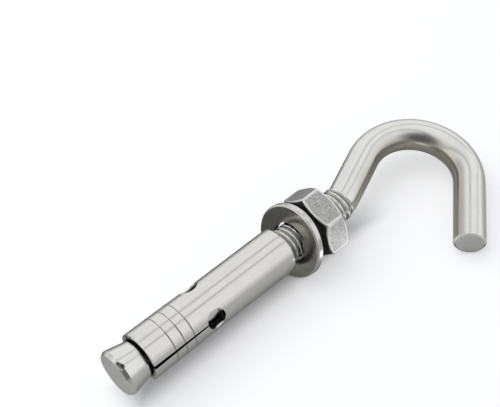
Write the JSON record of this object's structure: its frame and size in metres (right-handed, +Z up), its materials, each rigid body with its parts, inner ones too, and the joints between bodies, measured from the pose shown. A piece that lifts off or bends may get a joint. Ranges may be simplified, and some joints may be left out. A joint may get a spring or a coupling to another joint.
{
  "type": "hook wall anchor",
  "caption": "Wall anchor with an open round hook: a hook bolt with a conical plug, a slit expansion sleeve, a flat washer and a hexagon nut.",
  "frame": {"origin": "middle of the box round the lying anchor, on the floor", "axes": "+X along the length, from the plug towards the hook; +Z up; the hook opens towards -Y"},
  "size_m": [0.1212, 0.0478, 0.0206],
  "materials": {
    "hook_bolt_steel": "smooth drawn wire, half bright",
    "sleeve_steel": "satin rolled sheet",
    "washer_steel": "bright punched sheet",
    "nut_steel": "fine grained satin"
  },
  "bodies": {
    "hook_bolt": {"hook_bolt": "hook_bolt_steel"},
    "sleeve": {"sleeve": "sleeve_steel"},
    "washer": {"washer": "washer_steel"},
    "nut": {"nut": "nut_steel"}
  },
  "joints": [
    {"name": "sleeve_slide", "type": "slide", "parent": "hook_bolt", "child": "sleeve", "axis": [0.9995, 0, -0.0302], "range_m": [-0.0004, 0.0003]},
    {"name": "washer_slide", "type": "slide", "parent": "hook_bolt", "child": "washer", "axis": [0.9995, 0, -0.0302], "range_m": [-0.00113, 0.00301]},
    {"name": "nut_turn", "type": "hinge", "parent": "washer", "child": "nut", "pos_m": [0.0093, 0.01175, 0.01006], "axis": [0.9995, 0, -0.0302], "range_deg": [-270, 720]}
  ],
  "couplings": [
    {"joint": "washer_slide", "follows": "nut_turn", "m_per_rad": 0.00023873}
  ]
}
